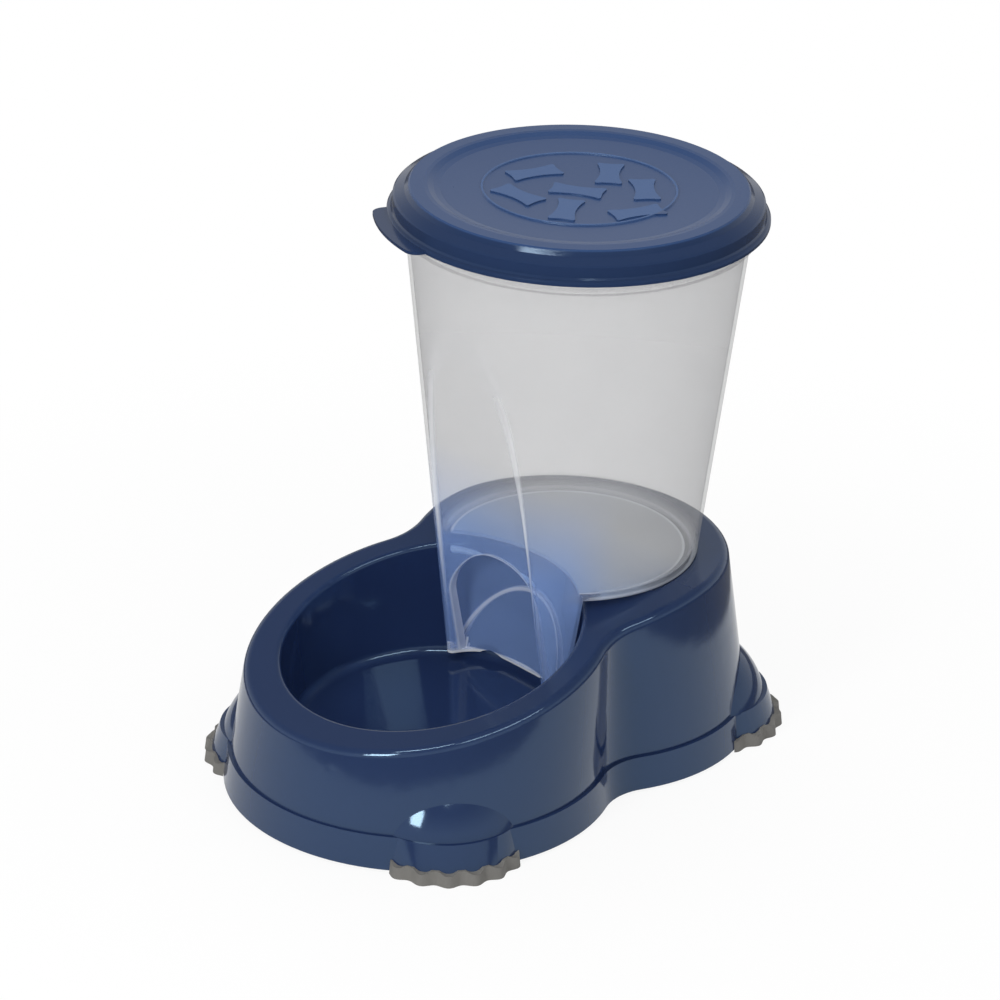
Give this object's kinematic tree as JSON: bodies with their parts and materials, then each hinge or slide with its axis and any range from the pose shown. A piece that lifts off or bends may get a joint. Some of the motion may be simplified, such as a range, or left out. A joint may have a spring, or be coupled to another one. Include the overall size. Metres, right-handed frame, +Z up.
{
  "type": "pet feeder",
  "caption": "Gravity feeder for dry pet food: a bowl in a moulded stand, with a clear tapered hopper behind it under a push-on lid.",
  "frame": {"origin": "on the ground under the middle of the feeder's bounding box", "axes": "+Z up, the bowl faces -Y, +X to the right as seen by a viewer who looks along +Y; the feeder is symmetric about X = 0 but for the lid's tab and bones"},
  "size_m": [0.1974, 0.2872, 0.2853],
  "materials": {
    "stand_plastic": "glossy",
    "lid_plastic": "satin",
    "clear_plastic": "milky translucent",
    "foot_rubber": "matte"
  },
  "bodies": {
    "feeder": {"stand": "stand_plastic", "hopper": "clear_plastic", "foot_front_left": "foot_rubber", "foot_front_right": "foot_rubber", "foot_rear_left": "foot_rubber", "foot_rear_right": "foot_rubber"},
    "lid_body": {"lid": "lid_plastic"}
  },
  "joints": [
    {"name": "lid_lift", "type": "slide", "parent": "feeder", "child": "lid_body", "axis": [0, 0, 1], "range_m": [0, 0.06]}
  ]
}
